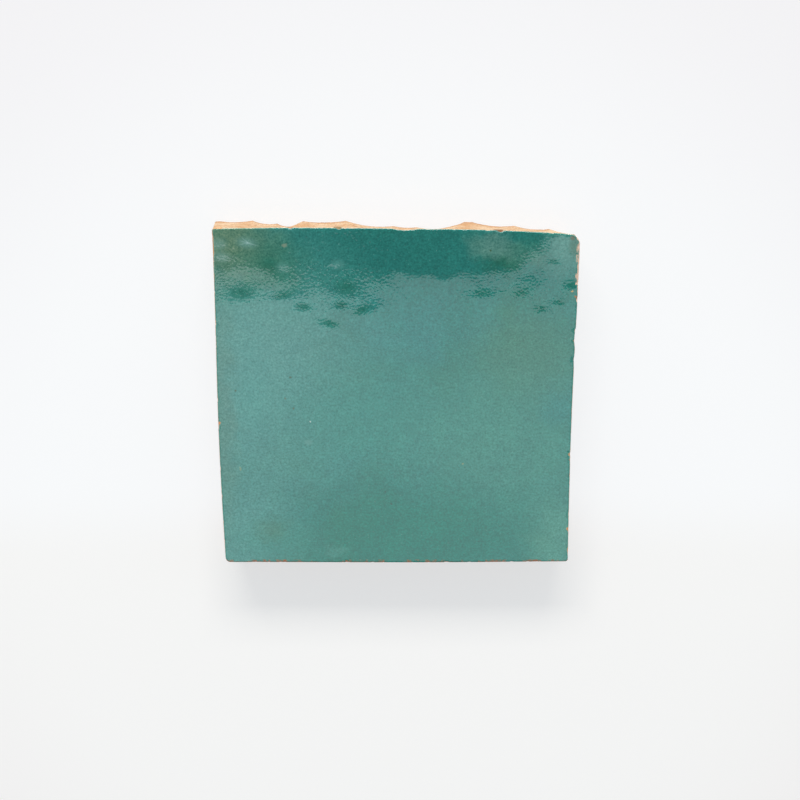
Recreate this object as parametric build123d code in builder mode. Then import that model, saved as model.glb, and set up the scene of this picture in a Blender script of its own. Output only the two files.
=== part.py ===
"""Hand-cut zellige tile: one piece of fired clay with a glazed face.

Millimetres, +Z up. The tile lies on its bare clay back with the glazed face up, and the
origin is at the middle of the back. The cutter scribes a square on the glaze and strikes
along it with a hammer, so no side is quite straight or square, each side is struck back
beneath the face in shallow flakes, and the glaze edge is nicked here and there. The face
itself waves a little, because the clay was flattened by hand.
"""

import math
import os

from build123d import *

# The square that the cutter scribes on the face
face_length = 100.0
face_width = 100.0
tile_thickness = 11.0

# How far each corner of the face lies out of true, outward along X and along Y
front_left_corner = (-0.35, 0.35)
front_right_corner = (0.35, 0.20)
back_right_corner = (0.60, -1.65)
back_left_corner = (-0.05, 0.02)

# How far each side stands out at a quarter, a half and three quarters of its length,
# going round the tile counter-clockwise as seen from above
front_bow = (0.45, 0.50, 0.37)
right_bow = (0.08, 0.08, 0.42)
back_bow = (-0.35, 0.05, 0.27)
left_bow = (0.10, 0.34, 0.17)

# Corner roundings, where the tip of a corner broke away
front_left_radius = 1.5
front_right_radius = 0.8
back_right_radius = 3.2
back_left_radius = 0.6

# The struck sides lean in beneath the face, by this much at the back of the tile
side_undercut = 0.7
arris_radius = 0.3

# How far the clay spreads out again at the back of each corner, along X and along Y
front_left_spread = (-0.15, 0.20)
front_right_spread = (0.25, -0.10)
back_right_spread = (0.10, -0.20)
back_left_spread = (1.15, -0.10)

# The glazed face: a long cross wave, a gentle one along the tile and one raised corner
wave_height = 0.10
wave_pitch = 62.0
wave_crest = 36.0
sway_height = 0.05
sway_pitch = 80.0
corner_lift = 0.30
corner_lift_reach = 11.0
face_grid_step = 5.0
face_tolerance = 0.001

# Hammer flakes on each side: the place along the side as a share of its length, the breadth
# and the bite at the back of the tile, the nick in the face's outline and the lean of the
# blow in degrees. A nick below zero leaves a band of clay untouched beneath the glaze.
front_strikes = (
    (0.030, 11.0, 2.10, -0.15, 4.0),
    (0.150, 14.0, 1.75, -0.20, -6.0),
    (0.285, 17.0, 2.60, -0.10, 5.0),
    (0.400, 10.0, 1.95, -0.15, -3.0),
    (0.525, 18.0, 2.35, -0.10, 7.0),
    (0.660, 13.0, 2.85, -0.05, -5.0),
    (0.790, 15.0, 1.90, -0.20, 3.0),
    (0.900, 12.0, 2.50, -0.10, -7.0),
    (0.985, 9.0, 2.00, -0.15, 5.0),
)
right_strikes = (
    (0.015, 10.0, 2.30, -0.15, -4.0),
    (0.120, 15.0, 1.80, -0.10, 6.0),
    (0.240, 12.0, 2.70, -0.10, -5.0),
    (0.375, 18.0, 2.20, 0.05, 4.0),
    (0.510, 13.0, 1.70, -0.15, -6.0),
    (0.630, 16.0, 2.65, 0.12, 5.0),
    (0.700, 13.0, 2.05, 0.40, -3.0),
    (0.860, 15.0, 1.60, -0.45, 6.0),
    (0.975, 10.0, 2.90, -0.10, -4.0),
)
back_strikes = (
    (0.020, 18.0, 3.05, 0.05, 4.0),
    (0.110, 16.0, 2.20, -0.10, -4.0),
    (0.225, 15.0, 1.75, -0.10, 5.0),
    (0.397, 18.5, 2.80, 0.10, -3.0),
    (0.475, 15.0, 2.60, 0.50, 3.0),
    (0.540, 20.0, 2.40, -0.15, -2.0),
    (0.700, 14.0, 1.35, -0.20, -3.0),
    (0.806, 8.6, 2.55, -0.05, 6.0),
    (0.845, 10.0, 1.80, -0.15, -4.0),
    (0.950, 10.0, 1.10, -0.20, 3.0),
)
left_strikes = (
    (0.150, 13.0, 2.55, -0.10, -4.0),
    (0.270, 16.0, 1.85, 0.05, 6.0),
    (0.405, 12.0, 2.90, -0.10, -5.0),
    (0.520, 14.0, 2.10, -0.15, 3.0),
    (0.645, 17.0, 2.50, -0.10, -6.0),
    (0.780, 11.0, 1.75, -0.15, 4.0),
    (0.885, 15.0, 2.60, -0.10, -3.0),
    (0.985, 8.0, 1.80, -0.20, 6.0),
)

# Chips in the glaze edge of each side: place, breadth and depth
front_chips = (
    (0.430, 1.6, 0.36),
    (0.645, 2.6, 0.38),
    (0.712, 1.5, 0.34),
    (0.835, 1.8, 0.38),
    (0.882, 1.4, 0.34),
)
right_chips = ((0.038, 1.9, 0.42), (0.105, 1.6, 0.36), (0.812, 2.6, 0.50), (0.880, 20.0, 0.40))
back_chips = ((0.218, 2.6, 0.55), (0.657, 1.9, 0.46), (0.788, 1.9, 0.42))
left_chips = ((0.050, 12.0, 0.30), (0.567, 1.8, 0.38), (0.790, 1.6, 0.34))

# Larger flakes off the edge of the clay back: place, breadth and depth
front_back_flakes = ((0.220, 13.0, 2.60), (0.745, 15.0, 2.90))
right_back_flakes = ((0.310, 14.0, 2.80), (0.700, 12.0, 2.70))
back_back_flakes = ((0.400, 9.0, 3.00),)
left_back_flakes = ((0.330, 15.0, 2.90), (0.830, 13.0, 2.70))

half_length = face_length / 2
half_width = face_width / 2
cutter_height = 3 * tile_thickness
cutting_allowance = 1.0
blank_top = tile_thickness + wave_height + sway_height + corner_lift + cutting_allowance

# The corners in order round the tile, from the front left one
corner_signs = ((-1, -1), (1, -1), (1, 1), (-1, 1))
corner_errors = (front_left_corner, front_right_corner, back_right_corner, back_left_corner)
corner_spreads = (front_left_spread, front_right_spread, back_right_spread, back_left_spread)
corner_radii = (front_left_radius, front_right_radius, back_right_radius, back_left_radius)
side_bows = (front_bow, right_bow, back_bow, left_bow)
side_strikes = (front_strikes, right_strikes, back_strikes, left_strikes)
side_chips = (front_chips, right_chips, back_chips, left_chips)
side_back_flakes = (front_back_flakes, right_back_flakes, back_back_flakes, left_back_flakes)


def true_corner(number):
    """One corner of the true square that the cutter aims at."""
    sign_x, sign_y = corner_signs[number % 4]
    return Vector(sign_x * half_length, sign_y * half_width)


def corner_point(number, inset):
    """One corner of the outline, moved in from both of its sides by the inset."""
    sign_x, sign_y = corner_signs[number % 4]
    error_x, error_y = corner_errors[number % 4]
    spread_x, spread_y = corner_spreads[number % 4]
    share = inset / side_undercut
    x = half_length + error_x - inset + spread_x * share
    y = half_width + error_y - inset + spread_y * share
    return Vector(sign_x * x, sign_y * y)


def side_points(number, inset):
    """The five points of one side's slightly crooked line, counter-clockwise."""
    start = corner_point(number, inset)
    end = corner_point(number + 1, inset)
    true_start = true_corner(number)
    true_end = true_corner(number + 1)
    outward = (true_end - true_start).normalized().cross(Vector(0, 0, 1))
    stations = [
        true_start + (true_end - true_start) * (share / 4) + outward * (bow - inset)
        for share, bow in enumerate(side_bows[number], start=1)
    ]
    return [start, *stations, end]


def glaze_height(x, y):
    """Height of the waving face over the back of the tile."""
    cross_wave = wave_height * math.cos(2 * math.pi * (y - wave_crest) / wave_pitch)
    sway = sway_height * math.sin(2 * math.pi * x / sway_pitch)
    corner_distance = math.hypot(x - half_length, y - half_width)
    lift = corner_lift * math.exp(-((corner_distance / corner_lift_reach) ** 2) / 2)
    return tile_thickness - wave_height + cross_wave + sway + lift


def grid_places(length):
    """Places of the face's grid lines along one axis, to a step past each end of the tile."""
    count = math.ceil(length / 2 / face_grid_step) + 1
    return [step * face_grid_step for step in range(-count, count + 1)]


def scoop_radius(breadth, depth):
    """Radius of a round cutter that leaves a scoop this broad and this deep."""
    return (breadth**2 / 4 + depth**2) / (2 * depth)


def strike_plane(side, place, radius, bite, nick, lean):
    """Plane across a hammer flake's axis, leaning in towards the back of the tile."""
    tangent = side.tangent_at(place)
    outward = tangent.cross(Vector(0, 0, 1))
    lean_in = math.atan((bite - nick) / tile_thickness)
    axis = Vector(0, 0, 1) + outward * math.tan(lean_in) + tangent * math.tan(math.radians(lean))
    level_radius = radius / math.cos(lean_in)
    reach = level_radius - (bite + nick) / 2
    middle = side.position_at(place) + outward * reach + Vector(0, 0, tile_thickness / 2)
    return Plane(origin=middle, x_dir=outward, z_dir=axis)


def edge_scoop_plane(side, place, upward, radius, depth):
    """Plane for a round cutter that takes a scoop off an edge, at 45 degrees to it."""
    tangent = side.tangent_at(place)
    outward = tangent.cross(Vector(0, 0, 1))
    away = (outward + Vector(0, 0, upward)).normalized()
    edge = side.position_at(place)
    if upward > 0:
        edge += Vector(0, 0, glaze_height(edge.X, edge.Y))
    return Plane(origin=edge + away * (radius - depth), x_dir=away, z_dir=tangent)


with BuildLine() as scribed_square:
    sides = [Spline(*side_points(number, 0)) for number in range(4)]

with BuildLine() as back_square:
    back_sides = [Spline(*side_points(number, side_undercut)) for number in range(4)]

waving_face = Face.make_surface_from_array_of_points(
    [
        [Vector(x, y, glaze_height(x, y)) for y in grid_places(face_width)]
        for x in grid_places(face_length)
    ],
    tol=face_tolerance,
)

with BuildPart() as zellige_tile:
    # The blank, between the scribed square and the smaller outline of the back
    with BuildSketch(Plane.XY.offset(blank_top)):
        add(scribed_square.line)
        make_face()
    with BuildSketch(Plane.XY):
        add(back_square.line)
        make_face()
    loft()

    for number, radius in enumerate(corner_radii):
        corner = corner_point(number, side_undercut / 2) + Vector(0, 0, tile_thickness / 2)
        fillet(zellige_tile.edges().sort_by_distance(corner)[0], radius)

    # The glazed face
    extrude(waving_face, amount=cutter_height, dir=(0, 0, 1), mode=Mode.SUBTRACT)
    fillet(zellige_tile.faces().sort_by(Axis.Z)[-1].outer_wire().edges(), arris_radius)

    # The hammer flakes of the four sides
    for side, strikes in zip(sides, side_strikes):
        for place, breadth, bite, nick, lean in strikes:
            radius = scoop_radius(breadth, bite - side_undercut)
            with Locations(strike_plane(side, place, radius, bite, nick, lean)):
                Cylinder(radius, cutter_height, mode=Mode.SUBTRACT)

    # Chips in the glaze edge, and flakes off the edge of the back
    for side, chips in zip(sides, side_chips):
        for place, breadth, depth in chips:
            radius = scoop_radius(breadth, depth)
            with Locations(edge_scoop_plane(side, place, 1, radius, depth)):
                Sphere(radius, mode=Mode.SUBTRACT)
    for side, flakes in zip(back_sides, side_back_flakes):
        for place, breadth, depth in flakes:
            radius = scoop_radius(breadth, depth)
            with Locations(edge_scoop_plane(side, place, -1, radius, depth)):
                Sphere(radius, mode=Mode.SUBTRACT)

zellige_tile.part.label = "zellige_tile"

os.makedirs("parts", exist_ok=True)
export_step(zellige_tile.part, "parts/zellige_tile.step")
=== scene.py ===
"""Hand-cut zellige tile: its teal glaze, its struck clay sides and its bare clay back.

The tile is one piece. Its skin is drawn over the frame's solid along section lines that run
round its edge, from the middle of the back, up the struck sides, over the glaze edge and in
to the middle of the face. Lengths are in millimetres until the skin becomes a mesh.
"""

import logging
import math
from dataclasses import dataclass
from enum import Enum

import bmesh
import bpy
import numpy as np
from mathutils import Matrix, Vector, noise
from mathutils.bvhtree import BVHTree


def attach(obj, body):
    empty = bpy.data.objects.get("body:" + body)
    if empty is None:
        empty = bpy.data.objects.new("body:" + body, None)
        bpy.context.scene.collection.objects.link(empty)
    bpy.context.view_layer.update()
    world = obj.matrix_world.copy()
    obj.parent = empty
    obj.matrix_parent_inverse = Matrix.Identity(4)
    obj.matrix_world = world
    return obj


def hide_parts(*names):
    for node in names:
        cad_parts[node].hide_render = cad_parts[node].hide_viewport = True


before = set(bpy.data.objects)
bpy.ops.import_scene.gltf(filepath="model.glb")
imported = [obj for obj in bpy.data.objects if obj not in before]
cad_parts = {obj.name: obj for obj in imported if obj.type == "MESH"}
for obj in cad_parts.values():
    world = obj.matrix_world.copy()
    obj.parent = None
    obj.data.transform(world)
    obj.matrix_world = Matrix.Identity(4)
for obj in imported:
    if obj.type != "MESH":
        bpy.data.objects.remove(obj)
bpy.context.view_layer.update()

NODE = "zellige_tile"
METRES_PER_MM = 0.001
DEPTH_ATTRIBUTE = "depth_below_glaze"
ANY_DEPTH = 1e6
RAY_START = 5.0
# How steep a bell curve is, one reach off its crest, if its crest and its reach are 1.
BELL_SLOPE = math.exp(-0.5)

Socket = bpy.types.NodeSocket
Outputs = bpy.types.NodeOutputs
Pair = tuple[float, float]
Triple = tuple[float, float, float]


class Side(Enum):
    """The four sides, counter-clockwise from above, each with its run and its outward way."""

    FRONT = ((1.0, 0.0), (0.0, -1.0))
    RIGHT = ((0.0, 1.0), (1.0, 0.0))
    BACK = ((-1.0, 0.0), (0.0, 1.0))
    LEFT = ((0.0, -1.0), (-1.0, 0.0))


def linear(colour: str) -> tuple[float, float, float, float]:
    """Turns an sRGB hex colour into a linear one.

    Args:
        colour: The colour, such as #2B7468.

    Returns:
        Linear red, green, blue and alpha.
    """
    channels = [int(colour[place:place + 2], 16) / 255 for place in (1, 3, 5)]
    low = [channel / 12.92 for channel in channels]
    high = [((channel + 0.055) / 1.055) ** 2.4 for channel in channels]
    return (*(a if c <= 0.04045 else b for a, b, c in zip(low, high, channels)), 1.0)


@dataclass(frozen=True)
class Canvas:
    """A shader's node tree, and the place on the tile, in millimetres, that it colours."""

    tree: bpy.types.NodeTree
    place: Socket | None = None

    def add(self, kind: str, inputs: dict | tuple, **settings: str) -> Outputs:
        """Adds one shader node. A texture node gets the canvas's place.

        Args:
            kind: Blender's name of the node type, without the ShaderNode before it.
            inputs: What goes in, either in order or by the name or number of each input. It
                is the output socket that feeds the input, or a value, or a hex colour.
            settings: Values by the name of a property.

        Returns:
            The new node's outputs.
        """
        node = self.tree.nodes.new("ShaderNode" + kind)
        for name, value in settings.items():
            setattr(node, name, value)
        if kind.startswith("Tex") and "Vector" in node.inputs:
            inputs = {"Vector": self.place, **inputs}
        for name, value in inputs.items() if isinstance(inputs, dict) else enumerate(inputs):
            if isinstance(value, Socket):
                self.tree.links.new(value, node.inputs[name])
            else:
                shown = linear(value) if isinstance(value, str) else value
                node.inputs[name].default_value = shown
        return node.outputs

    def off(self, middle: Pair, reach: Pair, turn: float = 0.0) -> Socket:
        """How far the place lies off the middle of an ellipse.

        Args:
            middle: The ellipse's middle, across and along the tile.
            reach: Its reaches on either side, across and along.
            turn: How far it is turned, counter-clockwise, in degrees.

        Returns:
            The distance, which is 1 on the ellipse.
        """
        local = self.add("Mapping", (self.place, (*middle, 0.0), (0.0, 0.0, math.radians(turn)),
                                     (*reach, ANY_DEPTH)), vector_type="TEXTURE")["Vector"]
        return self.add("VectorMath", (local,), operation="LENGTH")["Value"]


class FrameSurface:
    """The frame's solid, as a surface that rays are cast on, in millimetres."""

    def __init__(self, node: bpy.types.Object) -> None:
        """Reads a node's mesh into a tree of its faces.

        Args:
            node: The frame's node.
        """
        corners = [vertex.co / METRES_PER_MM for vertex in node.data.vertices]
        faces = [tuple(polygon.vertices) for polygon in node.data.polygons]
        self.faces = BVHTree.FromPolygons(corners, faces)
        points = np.array(corners)
        low = points.min(axis=0)
        high = points.max(axis=0)
        self.top = high[2]
        self.middle = (low + high)[:2] / 2
        self.half = (high - low)[:2] / 2

    def cast(self, starts: np.ndarray, ways: np.ndarray) -> np.ndarray:
        """Casts rays on the solid.

        Args:
            starts: Start points, outside the solid, one row each.
            ways: Directions, one row each.

        Returns:
            The first point that each ray meets, or the nearest point to its start.
        """
        hits = np.empty_like(starts)
        for row, (start, way) in enumerate(zip(starts, ways)):
            hit = self.faces.ray_cast(Vector(start), Vector(way))[0]
            hits[row] = hit if hit is not None else self.faces.find_nearest(Vector(start))[0]
        return hits


@dataclass
class LongWave:
    """The hand-flattened face's long wave, fitted to the frame so that it has no facets."""

    surface: FrameSurface
    degree: int = 9
    samples: int = 60
    margin: float = 2.6

    def __post_init__(self) -> None:
        """Fits a smooth surface to the heights of the frame's face."""
        steps = np.linspace(-1, 1, self.samples)
        across, along = (grid.ravel() for grid in np.meshgrid(steps, steps))
        reach = self.surface.half - self.margin
        places = self.surface.middle + np.stack([across * reach[0], along * reach[1]], axis=1)
        starts = np.column_stack([places, np.full(len(places), self.surface.top + RAY_START)])
        heights = self.surface.cast(starts, np.tile([0.0, 0.0, -1.0], (len(places), 1)))[:, 2]
        self.shares = np.linalg.lstsq(self.terms(places), heights, rcond=None)[0]

    def terms(self, places: np.ndarray) -> np.ndarray:
        """The terms of the fitted surface at each place, one row each."""
        unit = (places[:, :2] - self.surface.middle) / self.surface.half
        return np.polynomial.chebyshev.chebvander2d(unit[:, 0], unit[:, 1], [self.degree] * 2)

    def height(self, places: np.ndarray) -> np.ndarray:
        """The height of the wave at each place."""
        return self.terms(places) @ self.shares


@dataclass(frozen=True)
class Tip:
    """A small place where the glaze ran uneven and the face tips up or down.

    Its middle and its two reaches are in millimetres. The turn of the longer one and the fall
    towards the back side, which the glaze shows by what it mirrors, are in degrees. Where it
    has a slow side, the place is the steep side of a run or a hollow, whose front side is that
    many times as long.
    """

    across: float
    along: float
    long_reach: float
    short_reach: float
    turn: float
    fall: float
    slow_side: float

    def height(self, places: np.ndarray) -> np.ndarray:
        """The rise or drop that the tip adds.

        Args:
            places: Places on the tile, one row each.

        Returns:
            The height at each place, in millimetres.
        """
        off_across = places[:, 0] - self.across
        off_along = places[:, 1] - self.along
        turn = math.radians(self.turn)
        by_long = (off_across * math.cos(turn) + off_along * math.sin(turn)) / self.long_reach
        by_short = (off_along * math.cos(turn) - off_across * math.sin(turn)) / self.short_reach
        if self.slow_side:
            past_crest = by_short + 1
            past_crest = np.where(past_crest < 0, past_crest / self.slow_side, past_crest)
            crest = math.tan(math.radians(self.fall)) * self.short_reach / BELL_SLOPE
            return crest * np.exp(-(by_long ** 2 + past_crest ** 2) / 2)
        fade = np.exp(-(by_long ** 2 + by_short ** 2) / 2)
        return -math.tan(math.radians(self.fall)) * off_along * fade


@dataclass
class GlazeRipple:
    """The small waves of the molten glaze, too low to see but for what they mirror."""

    seed: Vector
    tips: tuple[Tip, ...]
    waves: tuple[Pair, ...] = ((13.0, 0.017), (5.5, 0.0075), (2.6, 0.0026))
    layer_shift: float = 9.1
    sunk: float = 0.05

    def height(self, places: np.ndarray) -> np.ndarray:
        """The height of the ripple with its tips.

        Args:
            places: Places on the tile, one row each.

        Returns:
            The height at each place, in millimetres.
        """
        total = np.full(len(places), -self.sunk)
        for row, (across, along) in enumerate(places[:, :2]):
            for layer, (pitch, rise) in enumerate(self.waves):
                spot = Vector((across / pitch, along / pitch, layer * self.layer_shift))
                spot += self.seed
                total[row] += rise * noise.noise(spot)
        for tip in self.tips:
            total += tip.height(places)
        return total


@dataclass
class ClayRelief:
    """How far the broken clay lies inside the frame's smooth flakes."""

    seed: Vector
    facet_pitch: float = 3.0
    facet_squash: float = 0.55
    facet_scatter: float = 3.7
    facet_drop: float = 0.16
    grain_pitch: float = 1.1
    # How fast the grain's finer layers fade, how much finer each is, and how many there are.
    grain_layers: tuple[float, float, int] = (0.8, 2.1, 3)
    grain_drop: float = 0.07
    pit_pitch: float = 2.4
    pit_threshold: float = 0.45
    pit_drop: float = 0.22

    def depth(self, points: np.ndarray) -> np.ndarray:
        """The depth of the broken surface.

        Args:
            points: Points on the frame's surface, one row each.

        Returns:
            The depth at each point, at least nothing.
        """
        depths = np.empty(len(points))
        for row, point in enumerate(points):
            spot = Vector(point)
            stretched = Vector((spot.x, spot.y, spot.z * self.facet_squash))
            stretched = stretched / self.facet_pitch + self.seed
            centre = noise.voronoi(stretched)[1][0]
            tilt = noise.noise_vector(centre * self.facet_scatter)
            facet = 0.5 + (stretched - centre).dot(tilt)
            grain = 0.5 + 0.5 * noise.fractal(spot / self.grain_pitch + self.seed,
                                              *self.grain_layers)
            pit = max(0.0, noise.noise(spot / self.pit_pitch - self.seed) - self.pit_threshold)
            depths[row] = (self.facet_drop * facet + self.grain_drop * grain
                           + self.pit_drop * pit)
        return np.maximum(depths, 0.0)


@dataclass
class TileSkin:
    """The tile's outer skin, drawn along section lines round its edge."""

    surface: FrameSurface
    wave: LongWave
    ripple: GlazeRipple
    clay: ClayRelief
    lines_per_side: int = 288
    line_corner: float = 12.0
    corner_run: float = 9.0
    corner_evenness: float = 0.5
    fine_from: Pair = (0.42, 0.65)
    stand_off: float = 8.0
    pivot_stand_off: float = 6.0
    edge_pivot: float = 1.3
    edge_rays: int = 14
    back_pivot: float = 1.0
    back_rays: int = 8
    back_bareness: float = 0.5
    wall_rows: int = 23
    face_rings: tuple[float, ...] = (1.7, 2.3, 3.0, 3.8, 4.6)
    back_rings: tuple[float, ...] = (8.0, 5.0, 2.6)
    face_thinning: int = 2
    back_thinning: int = 4
    chip_step: float = 0.03
    # How far up the edge, in degrees, the clay's relief has died away.
    bare_until: float = 40.0
    nick_pitch: float = 1.8
    nick_depth: float = 0.24
    nick_threshold: float = 0.22
    # The finer nicks: how many times as fine, and their share.
    nick_fine: Pair = (2.7, 0.5)
    # Where on the edge the nicks are deepest and how far they reach, in degrees.
    nick_turns: Pair = (42.0, 24.0)
    back_relief: float = 0.6

    def section_lines(self) -> tuple[np.ndarray, np.ndarray]:
        """Lays out the section lines round the tile.

        Round each corner the lines fan out, and they draw closer together towards its tip.
        Up the right and left sides they are finer near the back, where the glaze mirrors the
        edge of the panel and shows its smallest waves.

        Returns:
            Where the lines cross a round-cornered square, and their outward ways, in plan.
        """
        crossings, ways = [], []
        for side in Side:
            run, out = (np.array(way) for way in side.value)
            straight_half = abs(run @ self.surface.half) - self.line_corner
            out_half = abs(out @ self.surface.half) - self.line_corner
            length = 2 * straight_half + 2 * self.corner_run
            for line in range(self.lines_per_side):
                way_along = line / self.lines_per_side
                if side is Side.RIGHT:
                    way_along = self.finer_behind(way_along)
                elif side is Side.LEFT:
                    way_along = 1 - self.finer_behind(1 - way_along)
                travelled = length * way_along - self.corner_run - straight_half
                share = max(abs(travelled) - straight_half, 0.0) / self.corner_run
                eased = (self.corner_evenness * share
                         + (1 - self.corner_evenness) * math.sin(share * math.pi / 2))
                turn = math.copysign(eased * math.pi / 4, travelled)
                along = min(max(travelled, -straight_half), straight_half)
                way = run * math.sin(turn) + out * math.cos(turn)
                crossings.append(self.surface.middle + run * along + out * out_half
                                 + way * self.line_corner)
                ways.append(way)
        return np.array(crossings), np.array(ways)

    def finer_behind(self, share: float) -> float:
        """How far back a line of the right or left side lies, with more lines at the back."""
        lines, reached = self.fine_from
        return float(np.interp(share, (0.0, lines, 1.0), (0.0, reached, 1.0)))

    def nicks(self, edge: np.ndarray) -> np.ndarray:
        """Sets the small nicks in the glaze edge.

        Args:
            edge: The edge's points, one row each.

        Returns:
            How deep the nicks are at each point.
        """
        finer, fine_share = self.nick_fine
        depths = np.empty(len(edge))
        for row, point in enumerate(edge):
            spot = Vector(point) / self.nick_pitch
            coarse = noise.noise(spot + self.clay.seed)
            fine = noise.noise(spot * finer - self.clay.seed)
            depths[row] = max(0.0, coarse + fine_share * fine - self.nick_threshold)
        return self.nick_depth * depths

    def loops(self) -> tuple[list[np.ndarray], list[np.ndarray]]:
        """Walks up the sections from the back to the face.

        Returns:
            The closed loops of points round the tile, and how deep each point lies below
            the glazed face.
        """
        crossings, outs = self.section_lines()
        out = np.column_stack([outs, np.zeros(len(outs))])
        up = np.array([0.0, 0.0, 1.0])
        even_line = np.column_stack([crossings, np.zeros(len(outs))])
        far_line = crossings + outs * self.stand_off

        def level(height: np.ndarray) -> np.ndarray:
            """The points where the wall is met at one height on each line."""
            return self.surface.cast(np.column_stack([far_line, height]), -out)

        back_foot = level(np.full(len(outs), self.back_pivot))
        face_height = self.wave.height(back_foot - out * self.edge_pivot)
        edge_foot = level(face_height - self.edge_pivot)
        edge_pivot = edge_foot - out * self.edge_pivot
        back_pivot = back_foot - out * self.back_pivot
        nick = self.nicks(edge_foot)

        def ring_place(foot: np.ndarray, ring: float, evenness: float) -> np.ndarray:
            """A ring inside the edge, between following its flakes and running even."""
            return (foot * (1 - evenness) + even_line * evenness) - out * ring

        def rounding(pivot: np.ndarray, turn: float) -> tuple[np.ndarray, np.ndarray]:
            """The ways out from a pivot at one turn, in degrees, and the points met there."""
            ray = out * math.cos(math.radians(turn)) + up * math.sin(math.radians(turn))
            return ray, self.surface.cast(pivot + ray * self.pivot_stand_off, -ray)

        loops: list[np.ndarray] = []
        for step, ring in enumerate(self.back_rings):
            place = ring_place(back_foot, ring, 1 - step / len(self.back_rings))
            place[:, 2] = 0.0
            place[:, 2] = self.back_relief * self.clay.depth(place)
            loops.append(place)
        for turn in np.linspace(-90, 0, self.back_rays, endpoint=False):
            ray, met = rounding(back_pivot, turn)
            bared = math.cos(math.radians(turn)) ** self.back_bareness
            loops.append(met - ray * (self.clay.depth(met) * bared)[:, None])
        wall_height = face_height - self.edge_pivot - self.back_pivot
        for share in np.linspace(0, 1, self.wall_rows):
            met = level(self.back_pivot + wall_height * share)
            loops.append(met - out * self.clay.depth(met)[:, None])
        nick_middle, nick_reach = self.nick_turns
        for turn in np.linspace(0, 90, self.edge_rays + 1)[1:]:
            ray, met = rounding(edge_pivot, turn)
            bared = max(0.0, 1 - turn / self.bare_until)
            nicked = nick * math.exp(-(((turn - nick_middle) / nick_reach) ** 2))
            loops.append(met - ray * (self.clay.depth(met) * bared + nicked)[:, None])
        for step, ring in enumerate(self.face_rings, start=1):
            place = ring_place(edge_foot, ring, step / len(self.face_rings))
            place[:, 2] = face_height + RAY_START
            loops.append(self.surface.cast(place, np.tile(-up, (len(place), 1))))

        depths = [self.wave.height(loop) - loop[:, 2] for loop in loops]
        first_face_loop = len(self.back_rings) + self.back_rays + self.wall_rows
        for loop, depth in zip(loops[first_face_loop:], depths[first_face_loop:]):
            whole = depth < self.chip_step
            smooth = self.wave.height(loop)
            loop[whole, 2] = smooth[whole]
            depth[whole] = 0.0
            loop[:, 2] += self.ripple.height(loop) * np.clip(1 - depth, 0, 1)
        return loops, depths

    def sheet(self, ring: np.ndarray, per_side: int) -> np.ndarray:
        """Fills a ring of points with a square grid of places.

        Args:
            ring: The ring's points, counter-clockwise from its front left corner.
            per_side: How many grid steps each side of the ring has.

        Returns:
            The grid's points in plan, rows along Y and columns along X, edges included.
        """
        shares = np.linspace(0, 1, per_side + 1)
        closed = np.vstack([ring, ring[:1]])[:, :2]
        front = closed[:per_side + 1]
        right = closed[per_side:2 * per_side + 1]
        back = closed[2 * per_side:3 * per_side + 1][::-1]
        left = closed[3 * per_side:][::-1]
        u = shares[None, :, None]
        v = shares[:, None, None]
        between = ((1 - v) * front[None] + v * back[None]
                   + (1 - u) * left[:, None] + u * right[:, None])
        corners = ((1 - u) * (1 - v) * front[0] + u * (1 - v) * front[-1]
                   + (1 - u) * v * back[0] + u * v * back[-1])
        return between - corners

    def build(self) -> bpy.types.Object:
        """Makes the skin's mesh.

        Returns:
            The tile as one closed mesh object, with the depth of each point below the
            glazed face as an attribute.
        """
        loops, depths = self.loops()
        points = [tuple(point) for loop in loops for point in loop]
        depth = [value for loop in depths for value in loop]
        count = 4 * self.lines_per_side
        faces: list[tuple[int, ...]] = []
        for ring in range(len(loops) - 1):
            low, high = ring * count, (ring + 1) * count
            for line in range(count):
                after = (line + 1) % count
                faces.append((low + line, low + after, high + after, high + line))

        for ring_start, thinning, is_face in (
            (0, self.back_thinning, False),
            ((len(loops) - 1) * count, self.face_thinning, True),
        ):
            per_side = self.lines_per_side // thinning
            ring = np.array(points[ring_start:ring_start + count])[::thinning]
            grid = self.sheet(ring, per_side)
            numbers = np.full((per_side + 1, per_side + 1), -1)
            for step in range(per_side):
                back_step = per_side - step
                places = (0, step), (step, per_side), (per_side, back_step), (back_step, 0)
                for side, place in enumerate(places):
                    numbers[place] = ring_start + (side * per_side + step) * thinning
            inner = grid[1:-1, 1:-1].reshape(-1, 2)
            if is_face:
                heights = self.wave.height(inner) + self.ripple.height(inner)
                inner_depth = np.zeros(len(inner))
            else:
                flat = np.column_stack([inner, np.zeros(len(inner))])
                heights = self.back_relief * self.clay.depth(flat)
                inner_depth = self.wave.height(inner) - heights
            first = len(points)
            numbers[1:-1, 1:-1] = first + np.arange(len(inner)).reshape(per_side - 1, per_side - 1)
            points += [(x, y, z) for (x, y), z in zip(inner, heights)]
            depth += list(inner_depth)
            for row in range(per_side):
                for column in range(per_side):
                    quad = [numbers[row, column], numbers[row, column + 1],
                            numbers[row + 1, column + 1], numbers[row + 1, column]]
                    faces.append(tuple(self.with_spares(quad, ring_start, count, thinning)))

        mesh = bpy.data.meshes.new("glazed_tile")
        mesh.from_pydata([tuple(c * METRES_PER_MM for c in point) for point in points], [], faces)
        attribute = mesh.attributes.new(DEPTH_ATTRIBUTE, "FLOAT", "POINT")
        attribute.data.foreach_set("value", np.array(depth, dtype=np.float32))
        work = bmesh.new()
        work.from_mesh(mesh)
        bmesh.ops.triangulate(work, faces=[face for face in work.faces if len(face.verts) > 4])
        bmesh.ops.recalc_face_normals(work, faces=work.faces)
        work.to_mesh(mesh)
        work.free()
        mesh.shade_smooth()
        tile = bpy.data.objects.new("glazed_tile", mesh)
        bpy.context.scene.collection.objects.link(tile)
        return tile

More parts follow.
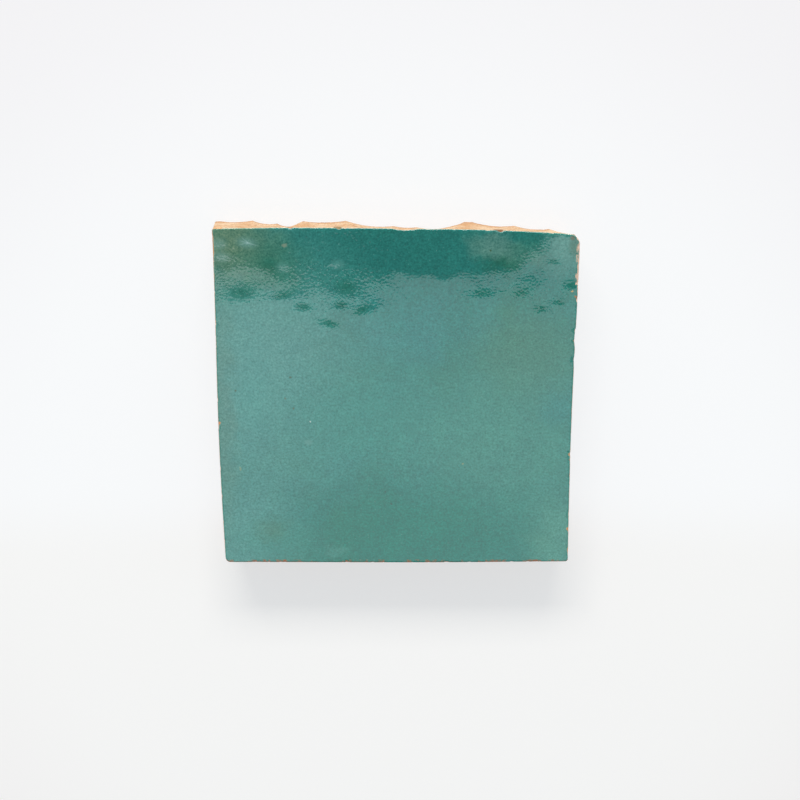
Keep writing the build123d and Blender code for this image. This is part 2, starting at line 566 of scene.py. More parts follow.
    @staticmethod
    def with_spares(quad: list[int], ring_start: int, count: int, thinning: int) -> list[int]:
        """Adds the ring's points between two of a face's corners that lie on the ring.

        Args:
            quad: The face's four corners.
            ring_start: The number of the ring's first point.
            count: How many points the ring has.
            thinning: How many of the ring's steps one step of the grid spans.

        Returns:
            The face's corners in order, with the points between them.
        """
        corners: list[int] = []
        for here, following in zip(quad, quad[1:] + quad[:1]):
            corners.append(int(here))
            on_ring = all(ring_start <= end < ring_start + count for end in (here, following))
            step = int(following - here)
            wraps = abs(step) == count - thinning
            if on_ring and (abs(step) == thinning or wraps):
                sign = 1 if (step > 0) != wraps else -1
                corners += [ring_start + (int(here) - ring_start + sign * spare) % count
                            for spare in range(1, thinning)]
        return corners


@dataclass(frozen=True)
class Patch:
    """A patch of other colour: its place, reaches, colour, strength and turn in degrees."""

    across: float
    along: float
    reach_across: float
    reach_along: float
    colour: str
    strength: float
    turn: float = 0.0

    def over(self, canvas: Canvas, under: Socket, softness: float) -> Socket:
        """Lays the patch over a colour.

        Args:
            canvas: Where it is drawn.
            under: The colour beneath.
            softness: The share of the reach over which the patch fades out.

        Returns:
            The colour with the patch on it.
        """
        off = canvas.off((self.across, self.along), (self.reach_across, self.reach_along),
                         self.turn)
        share = canvas.add("MapRange", (off, 1.0, 1.0 - softness, 0.0, self.strength),
                           interpolation_type="SMOOTHSTEP")["Result"]
        return canvas.add("Mix", {0: share, 6: under, 7: self.colour}, data_type="RGBA")[2]


Patches = tuple[Patch, ...]


@dataclass(frozen=True)
class TealGlaze:
    """Copper-green glaze, brushed on and fired in a wood kiln.

    It is glassy and pools unevenly, so the eye sees a deep teal that turns olive where the
    coat is thin, with streaks, specks and a fine mottle, part of which is painted sheen.
    """

    # From the greener to the bluer clouds, each with its value of the noise.
    tints: tuple[tuple[float, str], ...] = ((0.36, "#1D7565"), (0.50, "#1F7A70"),
                                            (0.64, "#267E78"))
    cloud_size: float = 22.0
    # How wide the waves of a ragged edge are, and how far apart their ends are.
    bloom_wandering: Pair = (5.0, 10.0)
    speck_wandering: Pair = (0.6, 0.8)
    # The mottle's sizes, each with how far it swings red, green and blue. The two finest, with
    # their large swings, also paint the glaze's grainy sheen into its colour: painted sheen.
    mottles_and_sheen: tuple[tuple[float, Triple], ...] = (
        (7.0, (0.60, 0.34, 0.26)),
        (2.6, (0.50, 0.30, 0.30)),
        (1.1, (1.20, 0.50, 0.50)),
        (0.6, (2.60, 1.45, 1.50)),
    )
    dot: str = "#8FBDB2"
    dot_pitch: float = 1.9
    dot_radius: float = 0.17
    dot_core: float = 0.3
    dot_share: float = 0.22
    # Painted dark reflection: the glaze is painted darker past the places where the face falls by
    # more than these degrees, where it mirrors the dim room overhead.
    dark_reflection_from: float = 0.6
    painted_dark_reflection: str = "#1B6A5A"
    dark_reflection_share: float = 0.65
    dark_reflection_reach: float = 1.1
    dark_reflection_offset: float = 0.35
    # The orange peel's sizes with their shares, and the ellipses where it is calmer. The real
    # one is finer, and would only show as haze.
    peels: tuple[Pair, ...] = ((0.62, 1.0), (0.30, 0.12))
    peel_height: float = 0.0118
    calms: tuple[tuple[Pair, Pair, float], ...] = (
        ((11.0, 38.0), (19.0, 6.0), 0.2),
        ((42.0, 42.0), (12.0, 10.0), 0.6),
    )
    calm_ends: Pair = (0.6, 1.4)
    roughness: float = 0.03
    refraction: float = 1.52

    def wandering(self, canvas: Canvas, size: float, reach: float) -> Canvas:
        """Shifts the place to and fro, so that what is drawn there gets ragged edges.

        Args:
            canvas: Where it is drawn.
            size: How wide the waves of the shift are.
            reach: How far apart its ends are.

        Returns:
            A canvas with the shifted place.
        """
        shift = canvas.add("TexNoise", {"Scale": 1 / size, "Detail": 4.0, "Roughness": 0.6})
        shifted = canvas.add("VectorMath", (shift["Color"], (reach, reach, 0.0), canvas.place),
                             operation="MULTIPLY_ADD")["Vector"]
        centred = canvas.add("VectorMath", (shifted, (-reach / 2, -reach / 2, 0.0)),
                             operation="ADD")["Vector"]
        return Canvas(canvas.tree, centred)

    def colour(self, canvas: Canvas, blooms: Patches, specks: Patches, scratches_and_reflections: Patches,
               tips: tuple[Tip, ...]) -> Socket:
        """The glaze's colour.

        Args:
            canvas: Where it is drawn.
            blooms: The broad patches.
            specks: The small marks.
            scratches_and_reflections: Fine straight lines, their haze, and painted reflections on
                tips.
            tips: The places where the glaze ran uneven; where the face drops, a painted dark
                reflection darkens them.

        Returns:
            The colour socket.
        """
        cloud = canvas.add("TexNoise", {"Scale": 1 / self.cloud_size, "Detail": 3.0,
                                        "Roughness": 0.6})["Fac"]
        colour = canvas.add("ValToRGB", (cloud,))["Color"]
        stops = colour.node.color_ramp.elements
        stops[0].position, stops[1].position = self.tints[0][0], self.tints[-1][0]
        stops.new(self.tints[1][0])
        for stop, (_, tint) in zip(stops, self.tints):
            stop.color = linear(tint)

        ragged = self.wandering(canvas, *self.bloom_wandering)
        for bloom in blooms:
            colour = bloom.over(ragged, colour, softness=0.9)
        # Painted dark reflection: a darker patch on each falling tip, shifted back onto where it
        # mirrors the dim room.
        for tip in tips:
            if tip.fall > self.dark_reflection_from:
                painted_dark_reflection = Patch(tip.across, tip.along + tip.short_reach * self.dark_reflection_offset,
                             tip.long_reach * self.dark_reflection_reach,
                             tip.short_reach * self.dark_reflection_reach, self.painted_dark_reflection, self.dark_reflection_share,
                             tip.turn)
                colour = painted_dark_reflection.over(canvas, colour, softness=0.9)

        # Partly painted sheen: the two finest layers swing widely to stand in for the glaze's
        # grainy sheen.
        for size, swing in self.mottles_and_sheen:
            fine = canvas.add("TexNoise", {"Scale": 1 / size, "Detail": 3.0, "Roughness": 0.72})
            least = tuple(1 - part / 2 for part in swing)
            gain = canvas.add("VectorMath", (fine["Fac"], swing, least),
                              operation="MULTIPLY_ADD")["Vector"]
            colour = canvas.add("VectorMath", (colour, gain), operation="MULTIPLY")["Vector"]
        ragged = self.wandering(canvas, *self.speck_wandering)
        colour = self.dotted(ragged, colour)
        for speck in specks:
            colour = speck.over(ragged, colour, softness=0.6)
        # The scratches, and the painted reflection and painted dark reflection on the tips.
        for overlay in scratches_and_reflections:
            colour = overlay.over(canvas, colour, softness=0.9)
        return colour

    def dotted(self, canvas: Canvas, under: Socket) -> Socket:
        """Strews small pale dots over a colour, where bubbles burst in the kiln.

        Args:
            canvas: Where it is drawn.
            under: The colour beneath.

        Returns:
            The colour with the dots on it.
        """
        cells = canvas.add("TexVoronoi", {"Scale": 1 / self.dot_pitch}, voronoi_dimensions="2D")
        radius = self.dot_radius / self.dot_pitch
        near = canvas.add("MapRange", (cells["Distance"], radius, radius * self.dot_core,
                                       0.0, self.dot_share))["Result"]
        chance = canvas.add("SeparateColor", (cells["Color"],))["Red"]
        share = canvas.add("Math", (near, chance), operation="MULTIPLY")["Value"]
        return canvas.add("Mix", {0: share, 6: under, 7: self.dot}, data_type="RGBA")[2]

    def height(self, canvas: Canvas) -> Socket:
        """The glaze's orange peel, finer than the skin's mesh.

        Args:
            canvas: Where it is drawn.

        Returns:
            Its height, in millimetres.
        """
        rise: Socket | float = self.peel_height
        for middle, reach, share in self.calms:
            off = canvas.off(middle, reach)
            kept = canvas.add("MapRange", (off, *self.calm_ends, share, 1.0))["Result"]
            rise = canvas.add("Math", (kept, rise), operation="MULTIPLY")["Value"]
        total: Socket | float = 0.0
        for size, share in self.peels:
            peel = canvas.add("TexNoise", {"Scale": 1 / size, "Detail": 0.0})["Fac"]
            total = canvas.add("Math", (peel, share, total), operation="MULTIPLY_ADD")["Value"]
        return canvas.add("Math", (total, rise), operation="MULTIPLY")["Value"]


@dataclass(frozen=True)
class FiredClay:
    """Hand-dug clay, fired and then broken by the hammer: matt, sandy, peach to terracotta."""

    # From orange to peach, each with its value of the noise.
    tints: tuple[tuple[float, str], ...] = ((0.36, "#B28A62"), (0.60, "#C2A88A"))
    cloud_size: float = 5.5
    sand: str = "#8C5836"
    sand_size: float = 0.9
    sand_ends: Pair = (0.54, 0.72)
    sand_share: float = 0.60
    slip: str = "#CFC2AC"
    # The rim is browner near the back, and the back itself, which faces down, isn't.
    rim: str = "#9A6238"
    rim_heights: Pair = (2.6, 0.4)
    rim_share: float = 0.50
    back_facings: Pair = (-0.95, -0.60)
    grain_size: float = 0.45
    grain_height: float = 0.05
    roughness: float = 0.92

    def colour(self, canvas: Canvas) -> Socket:
        """The clay's colour: clouds of darker firing, sandy grain and a browner rim.

        Args:
            canvas: Where it is drawn.

        Returns:
            The colour socket.
        """
        cloud = canvas.add("TexNoise", {"Scale": 1 / self.cloud_size, "Detail": 4.0,
                                        "Roughness": 0.6})["Fac"]
        clouded = canvas.add("ValToRGB", (cloud,))["Color"]
        for stop, (position, tint) in zip(clouded.node.color_ramp.elements, self.tints):
            stop.position, stop.color = position, linear(tint)
        sand = canvas.add("TexNoise", {"Scale": 1 / self.sand_size, "Detail": 2.0})["Fac"]
        sandy = canvas.add("MapRange", (sand, *self.sand_ends, 0.0, self.sand_share))["Result"]
        colour = canvas.add("Mix", {0: sandy, 6: clouded, 7: self.sand}, data_type="RGBA")[2]
        height = canvas.add("SeparateXYZ", (canvas.place,))["Z"]
        low = canvas.add("MapRange", (height, *self.rim_heights, 0.0, self.rim_share))["Result"]
        normal = canvas.add("TexCoord", ())["Normal"]
        facing = canvas.add("SeparateXYZ", (normal,))["Z"]
        off_back = canvas.add("MapRange", (facing, *self.back_facings))["Result"]
        rim = canvas.add("Math", (low, off_back), operation="MULTIPLY")["Value"]
        return canvas.add("Mix", {0: rim, 6: colour, 7: self.rim}, data_type="RGBA")[2]

    def height(self, canvas: Canvas) -> Socket:
        """The clay's grain, in millimetres, finer than the skin's mesh."""
        grain = canvas.add("TexNoise", {"Scale": 1 / self.grain_size, "Detail": 3.0,
                                        "Roughness": 0.7})["Fac"]
        return canvas.add("Math", (grain, self.grain_height), operation="MULTIPLY")["Value"]


@dataclass(frozen=True)
class WornSide:
    """A side where the glaze is worn off its edge, here and there, down to the clay.

    The wear grows from none to its whole between two places on each axis that is given.
    """

    spans: tuple[tuple[str, float, float], ...]
    thickness: float
    colour: str

    def share(self, canvas: Canvas) -> Socket:
        """Spreads the wear.

        Args:
            canvas: Where it is drawn.

        Returns:
            How much of the wear there is at the place, from 0 to 1.
        """
        parts = canvas.add("SeparateXYZ", (canvas.place,))
        total: Socket | float = 1.0
        for axis, *ends in self.spans:
            share = canvas.add("MapRange", (parts[axis], *ends))["Result"]
            total = canvas.add("Math", (share, total), operation="MULTIPLY")["Value"]
        return total


@dataclass(frozen=True)
class GlazedClay:
    """The tile's one material: glaze down to its own thickness below the face, then clay."""

    glaze: TealGlaze
    clay: FiredClay
    blooms: Patches
    specks: Patches
    scratches_and_reflections: Patches
    stains: Patches
    tips: tuple[Tip, ...]
    glaze_thickness: float = 0.22
    glaze_unevenness: float = 0.22
    uneven_size: float = 1.4
    edge_softness: float = 0.03
    slip_thickness: float = 0.28
    slip_whole: float = 0.6
    wear_size: float = 6.0
    wear_ends: Pair = (0.32, 0.44)
    # Wear and stains mark the clay near the glaze only, between these depths.
    mark_depths: Pair = (2.8, 1.5)
    worn_sides: tuple[WornSide, ...] = (
        # The front side's clay is bared by wear and painted a darker terracotta, as painted shade.
        WornSide((("Y", -49.0, -49.4),), 0.20, "#A06445"),
        WornSide((("X", 49.2, 49.6), ("Y", 22.0, 32.0)), 0.20, "#E0BDA6"),
        WornSide((("X", 47.0, 47.4), ("Y", 26.0, 20.0), ("Y", -49.0, -46.0)), 0.13, "#C08E60"),
        WornSide((("X", -47.0, -47.4), ("Y", -49.0, -46.0)), 0.12, "#C08E60"),
    )

    def material(self) -> bpy.types.Material:
        """Makes the material.

        Returns:
            The new material.
        """
        material = bpy.data.materials.new("teal_glaze_on_fired_clay")
        material.use_nodes = True
        tree = material.node_tree
        canvas = Canvas(tree)
        metres = canvas.add("TexCoord", ())["Object"]
        canvas = Canvas(tree, canvas.add("VectorMath", {0: metres, "Scale": 1 / METRES_PER_MM},
                                         operation="SCALE")["Vector"])
        depth = canvas.add("Attribute", (), attribute_name=DEPTH_ATTRIBUTE)["Fac"]
        uneven = canvas.add("TexNoise", {"Scale": 1 / self.uneven_size, "Detail": 3.0})["Fac"]
        shown = canvas.add("Math", (uneven, -self.glaze_unevenness, depth),
                           operation="MULTIPLY_ADD")["Value"]
        patchy = canvas.add("TexNoise", {"Scale": 1 / self.wear_size, "Detail": 3.0})["Fac"]
        patches = canvas.add("MapRange", (patchy, *self.wear_ends))["Result"]
        worn = [(side, side.share(canvas)) for side in self.worn_sides]
        for side, share in worn:
            wear = canvas.add("Math", (share, side.thickness), operation="MULTIPLY")["Value"]
            shown = canvas.add("Math", (wear, patches, shown), operation="MULTIPLY_ADD")["Value"]
        edge = self.glaze_thickness - self.glaze_unevenness / 2
        bare = canvas.add("MapRange", (shown, edge - self.edge_softness,
                                       edge + self.edge_softness))["Result"]

        clay = self.clay_colour(canvas, depth, shown, worn)
        glazed = self.glaze.colour(canvas, self.blooms, self.specks, self.scratches_and_reflections, self.tips)
        colour = canvas.add("Mix", {0: bare, 6: glazed, 7: clay}, data_type="RGBA")[2]
        height = canvas.add("Mix", {0: bare, 2: self.glaze.height(canvas),
                                    3: self.clay.height(canvas)})[0]
        bump = canvas.add("Bump", {"Height": height, "Distance": METRES_PER_MM,
                                   "Strength": 1.0})["Normal"]
        roughness = canvas.add("MapRange", (bare, 0.0, 1.0, self.glaze.roughness,
                                            self.clay.roughness))["Result"]
        shader = tree.nodes["Principled BSDF"]
        tree.links.new(colour, shader.inputs["Base Color"])
        tree.links.new(roughness, shader.inputs["Roughness"])
        tree.links.new(bump, shader.inputs["Normal"])
        shader.inputs["IOR"].default_value = self.glaze.refraction
        return material

    def clay_colour(self, canvas: Canvas, depth: Socket, shown: Socket,
                    worn: list[tuple[WornSide, Socket]]) -> Socket:
        """The bare clay's colour, with its slip, wear and stains.

        Args:
            canvas: Where it is drawn.
            depth: The depth below the glazed face.
            shown: The same depth, uneven and worn, which shows what is bared.
            worn: The worn sides, each with its share of wear.

        Returns:
            The colour socket.
        """
        edge = self.glaze_thickness - self.glaze_unevenness / 2
        slip_ends = (edge + self.slip_thickness * self.slip_whole, edge + self.slip_thickness)
        below_slip = canvas.add("MapRange", (shown, *slip_ends))["Result"]
        clean = canvas.add("Mix", {0: below_slip, 6: self.clay.slip,
                                   7: self.clay.colour(canvas)}, data_type="RGBA")[2]
        marked = clean
        for side, share in worn:
            marked = canvas.add("Mix", {0: share, 6: marked, 7: side.colour},
                                data_type="RGBA")[2]
        for stain in self.stains:
            marked = stain.over(canvas, marked, softness=0.5)
        near_glaze = canvas.add("MapRange", (depth, *self.mark_depths))["Result"]
        return canvas.add("Mix", {0: near_glaze, 6: clean, 7: marked}, data_type="RGBA")[2]


@dataclass(frozen=True)
class PaleFloor:
    """Smooth matt white card under bright light, which keeps the tile's soft shadow in front;
    painted light round the tile fills most of its shadow behind and beside it.
    """

    colour: str = "#FFFAF3"
    roughness: float = 0.9
    gloss: float = 0.1
    # Painted light: the card glows where it is looked at, paler round the tile than far off, and
    # more behind and beside the tile than in front, filling its shadow there.
    glow: str = "#F9FCFF"
    glow_far: str = "#F1F1F5"
    painted_light_middle: Triple = (0.0, -0.05, 0.0)
    painted_light_reach: Pair = (0.10, 0.20)
    painted_light_shares: Pair = (0.80, 0.55)
    painted_light_change: Pair = (-0.030, -0.056)

    def material(self) -> bpy.types.Material:
        """Makes the material.

        Returns:
            The new material.
        """
        material = bpy.data.materials.new("white_card")
        material.use_nodes = True
        tree = material.node_tree
        shader = tree.nodes["Principled BSDF"]
        shader.inputs["Base Color"].default_value = linear(self.colour)
        shader.inputs["Roughness"].default_value = self.roughness
        shader.inputs["Specular IOR Level"].default_value = self.gloss
        canvas = Canvas(tree)
        metres = canvas.add("TexCoord", ())["Object"]
        # Painted light: a paler pool of glow round the tile.
        away = canvas.add("VectorMath", (metres, self.painted_light_middle), operation="DISTANCE")
        fade = canvas.add("MapRange", (away["Value"], *self.painted_light_reach),
                          interpolation_type="SMOOTHSTEP")["Result"]
        colour = canvas.add("Mix", {0: fade, 6: self.glow, 7: self.glow_far},
                            data_type="RGBA")[2]
        glow = canvas.add("Emission", {"Color": colour, "Strength": 1.0})["Emission"]
        rays = canvas.add("LightPath", ())
        looked_at = rays["Is Camera Ray"]
        for ray in ("Is Glossy Ray", "Is Transmission Ray"):
            looked_at = canvas.add("Math", (looked_at, rays[ray]), operation="MAXIMUM")["Value"]
        # Painted light: the glow's larger share behind and beside the tile fills the tile's shadow
        # there.
        along = canvas.add("SeparateXYZ", (metres,))["Y"]
        most = canvas.add("MapRange", (along, *self.painted_light_change, *self.painted_light_shares),
                          interpolation_type="SMOOTHSTEP")["Result"]
        share = canvas.add("Math", (looked_at, most), operation="MULTIPLY")["Value"]
        both = canvas.add("MixShader", (share, shader.outputs["BSDF"], glow))["Shader"]
        tree.links.new(both, tree.nodes["Material Output"].inputs["Surface"])
        return material


@dataclass(frozen=True)
class SoftLamp:
    """A flat soft lamp: its middle, the point it faces, its size, brightness and colour."""

    name: str
    middle: Triple
    target: Triple
    size: Pair
    radiance: float
    colour: str

    def build(self) -> None:
        """Makes the lamp."""
        light = bpy.data.lights.new(self.name, "AREA")
        light.shape = "RECTANGLE"
        light.size, light.size_y = self.size
        light.energy = self.radiance * math.pi * self.size[0] * self.size[1]
        light.color = linear(self.colour)[:3]
        lamp = bpy.data.objects.new(self.name, light)
        lamp.location = self.middle
        facing = Vector(self.target) - Vector(self.middle)
        lamp.rotation_euler = facing.to_track_quat("-Z", "Y").to_euler()
        bpy.context.scene.collection.objects.link(lamp)


@dataclass
class Studio:
    """The floor, the lamps, the world and the camera, sized from the tile, in metres."""

    face_height: float
    floor_half: float = 4.0
    floor_steps: int = 8
    camera_tilt: float = 20.2
    camera_back: float = 0.1757
    camera_rise: float = 0.47665
    camera_side: float = 0.0013
    lens: float = 81.12
    sensor_width: float = 36.0
    panel_height: float = 1.2
    panel_start_tilt: float = 16.3
    panel_start_from: float = 0.036
    panel_size: Pair = (0.50, 0.44)
    panel_radiance: float = 1.8
    panel_colour: str = "#F6FBFF"
    key_middle: Triple = (-0.12, 1.46, 0.66)
    key_size: Pair = (1.2, 0.34)
    key_radiance: float = 22.0
    key_colour: str = "#FFFDF9"
    sky_colour: str = "#F4FAFF"
    sky_sines: Pair = (0.38, 0.64)
    sky_levels: Pair = (0.95, 0.31)
    walls_from: Pair = (0.20, 0.34)
    walls_level: float = 1.9

    def build(self) -> None:
        """Makes everything round the tile."""
        self.floor()
        self.lamps()
        self.world()
        self.camera()

    def floor(self) -> None:
        """Makes the floor that the tile lies on."""
        work = bmesh.new()
        bmesh.ops.create_grid(work, x_segments=self.floor_steps, y_segments=self.floor_steps,
                              size=self.floor_half)
        mesh = bpy.data.meshes.new("floor")
        work.to_mesh(mesh)
        work.free()
        mesh.materials.append(PaleFloor().material())
        floor = bpy.data.objects.new("floor", mesh)
        bpy.context.scene.collection.objects.link(floor)

    def lamps(self) -> None:
        """Hangs the white panel that the glaze mirrors, and the key lamp behind the tile."""
        rise = self.panel_height - self.face_height
        start = self.panel_start_from - rise * math.tan(math.radians(self.panel_start_tilt))
        middle = start - self.panel_size[1] / 2
        SoftLamp("white_panel", (0.0, middle, self.panel_height), (0.0, middle, 0.0),
                 self.panel_size, self.panel_radiance, self.panel_colour).build()
        SoftLamp("key_lamp", self.key_middle, (0.0, 0.0, 0.0), self.key_size,
                 self.key_radiance, self.key_colour).build()

    def world(self) -> None:
        """Sets a sky that is pale round the horizon and dimmer overhead.

        What is glossy also mirrors the room's white walls, to the right and the left.
        """
        world = bpy.data.worlds.new("pale_room")
        world.use_nodes = True
        bpy.context.scene.world = world
        tree = world.node_tree
        background = tree.nodes["Background"]
        background.inputs["Color"].default_value = linear(self.sky_colour)
        canvas = Canvas(tree)
        parts = canvas.add("SeparateXYZ", (canvas.add("TexCoord", ())["Generated"],))
        sky = canvas.add("MapRange", (parts["Z"], *self.sky_sines, *self.sky_levels),
                         interpolation_type="SMOOTHSTEP")["Result"]
        sideways = canvas.add("Math", (parts["X"],), operation="ABSOLUTE")["Value"]
        walls = canvas.add("MapRange", (sideways, *self.walls_from))["Result"]
        glossy = canvas.add("LightPath", ())["Is Glossy Ray"]
        mirrored = canvas.add("Math", (walls, glossy), operation="MULTIPLY")["Value"]
        level = canvas.add("Mix", {0: mirrored, 2: sky, 3: self.walls_level})[0]
        tree.links.new(level, background.inputs["Strength"])

    def camera(self) -> None:
        """Sets the camera over the tile, tipped as in the photograph."""
        data = bpy.data.cameras.new("camera")
        data.lens = self.lens
        data.sensor_width = self.sensor_width
        camera = bpy.data.objects.new("camera", data)
        camera.location = (self.camera_side, self.camera_back,
                           self.camera_rise + self.face_height)
        camera.rotation_euler = (math.radians(-self.camera_tilt), 0.0, 0.0)
        bpy.context.scene.collection.objects.link(camera)
        bpy.context.scene.camera = camera


# Runs and hollows of the glaze, from the left to the right, then the ones at the corners.
TIPS = (
    Tip(-42.6, 31.0, 4.6, 2.4, 8.0, 1.15, 3.5),
    Tip(-31.0, 30.6, 4.0, 1.5, 10.0, 1.40, 3.5),
    Tip(-26.8, 32.6, 3.2, 1.6, 34.0, 0.50, 3.5),
    Tip(-31.8, 35.6, 2.6, 1.6, -10.0, 0.35, 3.5),
    Tip(-25.4, 27.2, 2.6, 1.6, -5.0, 2.00, 3.5),
    Tip(-18.0, 22.4, 3.8, 1.6, -12.0, 2.80, 3.5),
    Tip(-15.0, 27.8, 2.4, 1.5, 0.0, 1.50, 3.5),
    Tip(-9.4, 26.2, 3.6, 1.8, 28.0, 2.55, 3.5),
    Tip(-13.5, 32.4, 4.2, 3.0, -12.0, 1.20, 3.5),
    Tip(-8.8, 30.1, 2.6, 1.3, -10.0, 0.35, 3.5),
    Tip(-12.5, 38.6, 6.5, 3.0, 0.0, 0.15, 3.5),
    Tip(24.2, 31.2, 3.0, 1.6, 6.0, 1.20, 3.5),
    Tip(34.8, 31.2, 2.2, 1.5, 15.0, 0.80, 3.5),
    Tip(38.2, 34.8, 2.6, 1.5, -38.0, 0.30, 3.5),
    Tip(40.4, 26.7, 2.2, 1.3, -5.0, 1.40, 3.5),
    Tip(48.6, 33.7, 1.6, 1.5, 0.0, 1.20, 3.5),
    Tip(45.7, 28.7, 2.0, 1.1, -10.0, 1.10, 3.5),
    Tip(-40.2, 37.4, 4.4, 2.4, 0.0, -1.00, 3.5),
    Tip(-34.5, 39.6, 3.4, 2.4, -30.0, 1.05, 3.5),
    Tip(-48.2, 45.2, 2.2, 1.6, 0.0, -1.60, 0.0),
    Tip(-47.6, 41.8, 2.4, 1.5, 0.0, -1.25, 0.0),
    Tip(-30.6, 38.9, 1.6, 1.2, 0.0, -0.75, 0.0),
    Tip(-17.0, 39.6, 1.3, 1.0, 0.0, -0.85, 0.0),
    Tip(44.0, 44.0, 8.0, 6.5, 25.0, -1.00, 2.2),
    Tip(46.4, 47.2, 4.0, 2.4, 10.0, -1.20, 0.0),
    Tip(40.6, 41.6, 3.0, 2.0, 35.0, -0.40, 0.0),
    Tip(43.4, 40.5, 1.8, 1.0, 0.0, 1.00, 3.5),
    Tip(37.0, 38.6, 3.0, 1.8, 35.0, -0.30, 0.0),
    Tip(30.0, 39.6, 4.0, 2.4, 0.0, 0.45, 3.5),
)

# Broad patches of the glaze that are paler, bluer or more olive.
BLOOMS = (
    Patch(4.0, 44.0, 80.0, 22.0, "#1C7068", 1.0),
    Patch(-38.0, 8.0, 46.0, 56.0, "#4B9088", 1.0),
    Patch(-44.0, -42.0, 22.0, 30.0, "#49928A", 0.9),
    Patch(-4.0, -6.0, 46.0, 28.0, "#2F877C", 0.8),
    Patch(32.0, -14.0, 44.0, 40.0, "#3B897A", 0.8),
    Patch(38.0, 14.0, 24.0, 22.0, "#3B7E6A", 0.7),
    Patch(6.0, -42.0, 56.0, 26.0, "#067A6A", 0.9),
    Patch(-34.0, -44.0, 20.0, 12.0, "#30877A", 0.6),
    Patch(47.0, -43.0, 13.0, 20.0, "#4F9886", 0.6),
    Patch(-47.0, 45.0, 22.0, 16.0, "#5A8068", 1.0),
    Patch(-34.0, 40.0, 14.0, 12.0, "#33735F", 0.7),
    Patch(-49.0, -5.0, 6.0, 56.0, "#4F7F70", 0.45),
    Patch(-40.0, 3.0, 8.0, 22.0, "#3E8F88", 0.4),
    Patch(46.0, -3.0, 8.0, 8.0, "#27807C", 0.5),
    Patch(-36.0, -40.0, 7.0, 6.0, "#3B7055", 0.4),
    Patch(-17.0, -46.5, 5.0, 2.5, "#4A9488", 0.4),
    Patch(29.5, 40.5, 9.0, 6.0, "#1E5E46", 0.6),
    Patch(26.5, 45.0, 10.0, 6.0, "#57887C", 0.8),
    Patch(36.0, 42.5, 8.0, 5.0, "#45806F", 0.6),
    Patch(36.0, 48.5, 7.0, 3.5, "#1C7068", 0.7),
    Patch(47.0, 45.0, 9.0, 12.0, "#4F8F84", 0.8),
)

# Small marks in the glaze.
SPECKS = (
    Patch(-30.3, 45.2, 1.05, 0.80, "#84947F", 0.70),
    Patch(26.1, 43.8, 0.42, 0.24, "#3A5A3A", 0.90),
    Patch(48.9, 32.1, 0.50, 0.35, "#C9A45C", 0.90),
    Patch(49.8, 30.6, 0.50, 0.40, "#A9743F", 0.90),
    Patch(-29.5, 6.9, 0.45, 0.40, "#3F5A40", 0.80),
    Patch(-45.0, 3.0, 0.40, 0.36, "#3F5A40", 0.80),
    Patch(-31.0, 0.6, 0.40, 0.40, "#4A5E40", 0.75),
    Patch(-28.8, -2.4, 0.42, 0.38, "#4A5E40", 0.75),
    Patch(-24.1, -6.3, 0.32, 0.30, "#C9D8D0", 0.90),
    Patch(-24.7, -12.7, 1.60, 1.10, "#6FA39A", 0.30),
    Patch(-44.3, -20.7, 0.32, 0.95, "#8E9C70", 0.50),
    Patch(-49.9, -6.7, 0.60, 0.60, "#D98B45", 0.90),
    Patch(49.9, -39.5, 0.50, 0.70, "#D98B45", 0.90),
    Patch(19.2, -19.2, 0.50, 0.45, "#9AA070", 0.50),
    Patch(-2.9, -27.9, 0.38, 0.34, "#245248", 0.85),
    Patch(-1.2, -31.6, 0.36, 0.34, "#245248", 0.85),
    Patch(48.4, 47.4, 0.90, 0.80, "#6E5A34", 0.70),
)

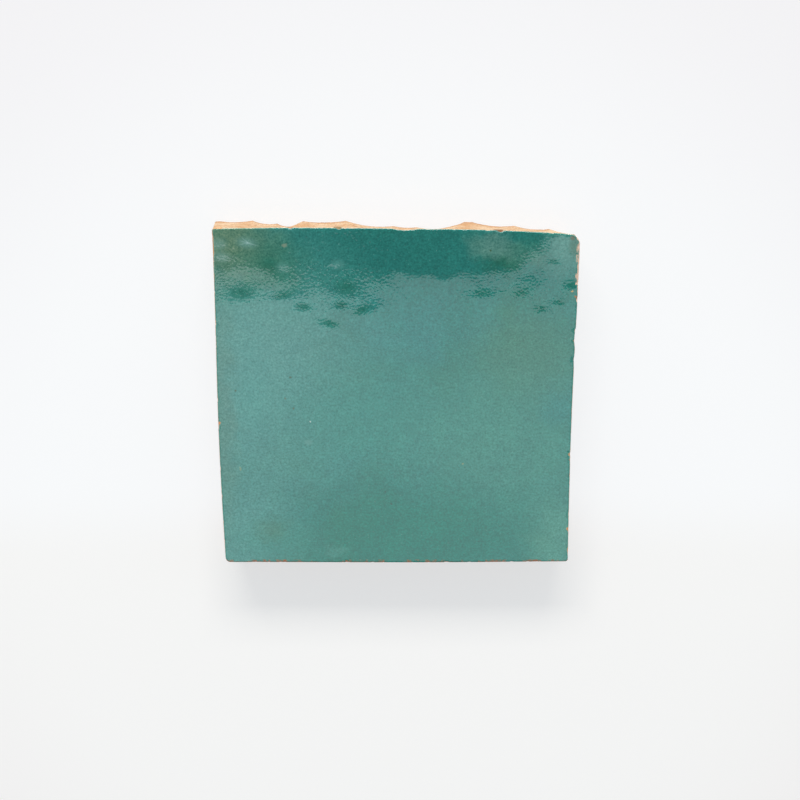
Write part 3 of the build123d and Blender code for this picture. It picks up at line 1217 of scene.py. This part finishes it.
# The star-shaped scratch and its haze, painted reflection on four raised places, a line, a darker
# place and painted dark reflection.
SCRATCHES_AND_PAINTED_REFLECTIONS = (
    Patch(-40.6, 46.0, 4.4, 2.4, "#6C9F98", 0.45, -8.0),
    Patch(-40.2, 45.9, 3.6, 0.26, "#A0C4BF", 0.42, -16.0),
    Patch(-40.6, 46.3, 2.6, 0.22, "#A0C4BF", 0.32, -40.0),
    Patch(-40.9, 45.8, 3.0, 0.22, "#A0C4BF", 0.30, 14.0),
    Patch(-40.4, 46.0, 1.8, 0.22, "#A0C4BF", 0.28, 58.0),
    Patch(-40.4, 45.9, 1.6, 0.22, "#A0C4BF", 0.28, 112.0),
    # Painted reflection: lighter patches on raised places of the glaze that mirror the panel.
    Patch(-48.4, 45.6, 3.6, 2.6, "#73A096", 0.50),
    Patch(-47.8, 42.1, 3.8, 2.2, "#73A096", 0.50, -10.0),
    Patch(-31.0, 39.0, 3.0, 2.4, "#5E9A92", 0.35),
    Patch(-15.8, 39.8, 3.0, 2.2, "#5E9A92", 0.40),
    Patch(-2.8, 26.0, 3.2, 0.24, "#0E6152", 0.55, 2.0),
    Patch(48.8, 44.8, 2.0, 4.2, "#2F5E45", 0.50),
    # Painted dark reflection: a darker patch on a place that falls back and mirrors the dim room.
    Patch(-35.0, 38.8, 5.0, 2.6, "#1F5F4B", 0.40, -30.0),
)

# Browner clay where the glaze's edge is chipped.
STAINS = (
    Patch(28.2, 49.4, 1.7, 1.1, "#6E4526", 0.95),
    Patch(-15.7, 50.0, 1.5, 1.0, "#75603A", 0.90),
    Patch(-28.8, 50.2, 1.2, 0.8, "#A0693A", 0.70),
    Patch(48.9, 32.1, 1.0, 0.8, "#B98A45", 0.80),
    Patch(49.8, 30.4, 1.0, 0.8, "#9A6637", 0.80),
    Patch(48.4, 47.4, 1.2, 1.0, "#7A5A33", 0.80),
)


def main() -> None:
    """Builds the tile's skin and the studio, and reports each piece."""
    logging.basicConfig(level=logging.INFO, format="%(message)s")
    log = logging.getLogger("zellige")
    scene = bpy.context.scene
    scene.view_settings.view_transform = "Standard"

    surface = FrameSurface(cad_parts[NODE])
    wave = LongWave(surface)
    ripple = GlazeRipple(Vector((3.3, 7.9, 1.7)), TIPS)
    clay = ClayRelief(Vector((11.2, 4.6, 8.3)))
    tile = TileSkin(surface, wave, ripple, clay).build()
    glazed_clay = GlazedClay(TealGlaze(), FiredClay(), BLOOMS, SPECKS, SCRATCHES_AND_PAINTED_REFLECTIONS, STAINS, TIPS)
    tile.data.materials.append(glazed_clay.material())
    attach(tile, "root")
    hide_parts(NODE)
    log.info("glazed_tile: %d points, %d faces", len(tile.data.vertices), len(tile.data.polygons))

    Studio(face_height=surface.top * METRES_PER_MM).build()
    log.info("studio: floor, two lamps, world and camera")


if __name__ == "__main__":
    main()
